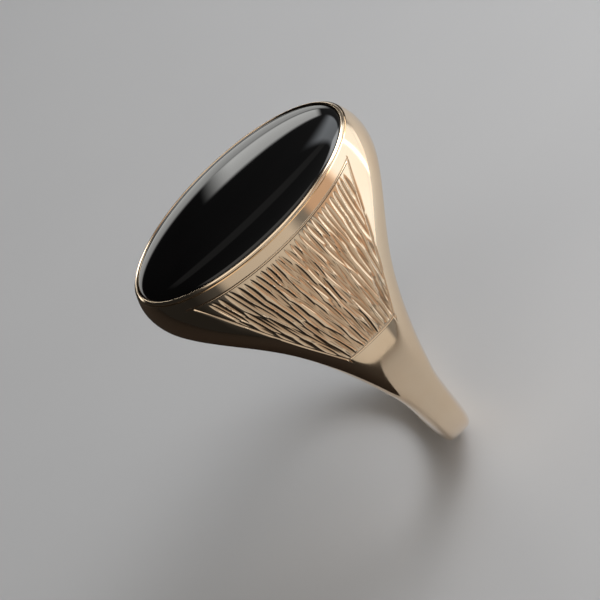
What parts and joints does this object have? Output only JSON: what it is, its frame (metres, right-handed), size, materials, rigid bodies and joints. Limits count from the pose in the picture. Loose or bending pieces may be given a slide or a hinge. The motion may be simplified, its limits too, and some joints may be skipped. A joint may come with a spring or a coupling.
{
  "type": "signet ring",
  "caption": "Signet ring with a long oval black stone in a rub-over bezel, broad tapered shoulders and a narrow plain shank.",
  "frame": {"origin": "centre of the finger bore, on its axis and half way along the finger", "axes": "+Y along the finger and along the long axis of the stone, +Z from the finger up through the stone, +X round the finger"},
  "size_m": [0.0228, 0.019, 0.0243],
  "materials": {
    "polished_gold": "polished",
    "black_onyx": "polished"
  },
  "bodies": {
    "root": {"head": "polished_gold", "shank": "polished_gold", "bezel": "polished_gold", "bearing": "polished_gold", "onyx": "black_onyx"}
  },
  "joints": []
}
